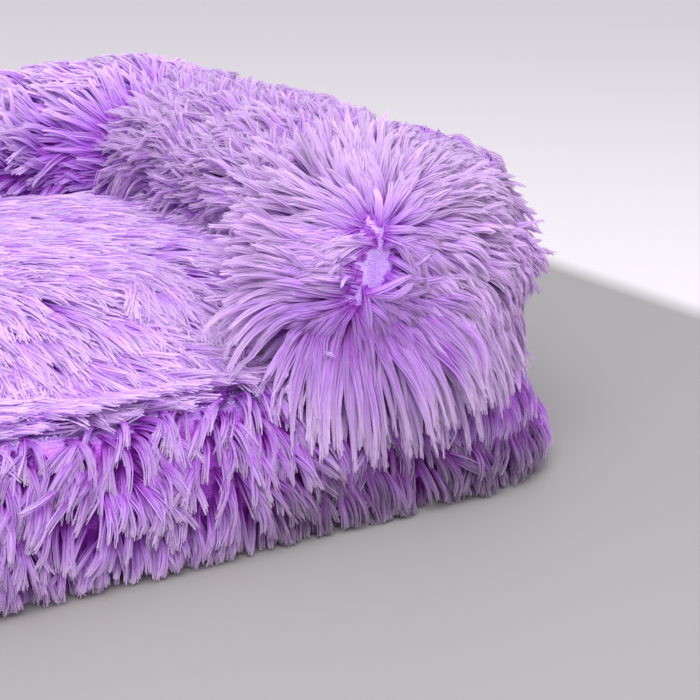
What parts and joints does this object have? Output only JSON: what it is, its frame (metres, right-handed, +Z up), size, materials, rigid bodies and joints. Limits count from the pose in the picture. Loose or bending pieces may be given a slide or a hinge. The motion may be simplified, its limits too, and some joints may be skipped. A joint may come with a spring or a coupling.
{
  "type": "pet bed",
  "caption": "Sofa-type plush pet bed: round-cornered mat and crowned seat, a stuffed long-pile bolster round the back and sides, gathered arm ends and a zipped non-slip base.",
  "frame": {"origin": "floor level under the middle of the bed", "axes": "+Z up, front of the bed towards -Y, right arm towards +X"},
  "size_m": [0.7, 0.62, 0.236],
  "materials": {
    "plush": "long-pile lavender faux fur on a knitted backing, paler at the tips",
    "fibre_fill": "loose white polyester fibre",
    "bottom_cloth": "grey woven cloth with small rubber grip dots",
    "zip_tape": "woven lavender zip tape",
    "zip_teeth": "moulded lavender plastic teeth",
    "zip_metal": "plated metal slider, pull and stops"
  },
  "bodies": {
    "bed": {"bottom_cloth_front": "bottom_cloth", "bottom_cloth_rear": "bottom_cloth", "mat_border_cover": "plush", "mat_fill": "fibre_fill", "seat_cover": "plush", "back_bolster_cover": "plush", "back_bolster_fill": "fibre_fill", "right_arm_cover": "plush", "right_arm_fill": "fibre_fill", "right_arm_end_cap": "plush", "left_arm_cover": "plush", "left_arm_fill": "fibre_fill", "left_arm_end_cap": "plush", "zip_tape_front": "zip_tape", "zip_tape_rear": "zip_tape", "zip_teeth_front": "zip_teeth", "zip_teeth_rear": "zip_teeth", "zip_bottom_stop": "zip_metal", "zip_top_stop_front": "zip_metal", "zip_top_stop_rear": "zip_metal"},
    "slider": {"zip_slider": "zip_metal"},
    "pull": {"zip_pull": "zip_metal"}
  },
  "joints": [
    {"name": "zip_travel", "type": "slide", "parent": "bed", "child": "slider", "axis": [-1, 0, 0], "range_m": [0, 0.55], "deforming": ["zip_teeth_front", "zip_teeth_rear"]},
    {"name": "pull_swing", "type": "hinge", "parent": "slider", "child": "pull", "pos_m": [0.276, 0.12, 0.0048], "axis": [0, -1, 0], "range_deg": [0, 165]}
  ]
}
